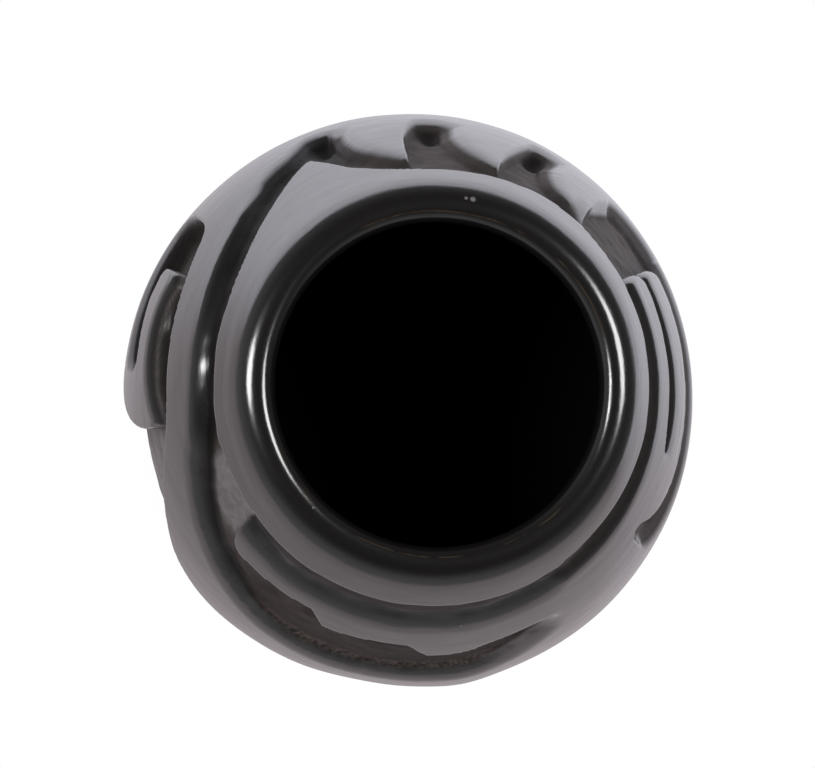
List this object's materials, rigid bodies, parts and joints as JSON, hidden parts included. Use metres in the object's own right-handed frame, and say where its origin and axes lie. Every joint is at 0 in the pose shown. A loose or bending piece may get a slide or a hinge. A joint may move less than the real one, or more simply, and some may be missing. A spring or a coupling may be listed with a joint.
{
  "type": "pueblo pottery jar",
  "caption": "Round black hand-built jar with a wide mouth, rounded lip and deep-carved wave, step and feather relief on its burnished shoulder; holds goods or flowers, stands on a flat foot.",
  "frame": {"origin": "middle of the flat foot, on the surface that the jar stands on", "axes": "+Z up along the jar's axis; +X to the right and +Y up in the view from above that the picture shows"},
  "size_m": [0.1399, 0.14, 0.132],
  "materials": {
    "blackware": "stone-burnished black slip, matte in the carved recesses"
  },
  "bodies": {
    "root": {"base_pat": "blackware", "wall_coil_1": "blackware", "wall_coil_2": "blackware", "wall_coil_3": "blackware", "wall_coil_4": "blackware", "wall_coil_5": "blackware", "wall_coil_6": "blackware", "wall_coil_7": "blackware", "wall_coil_8": "blackware", "rim_coil": "blackware"}
  },
  "joints": []
}
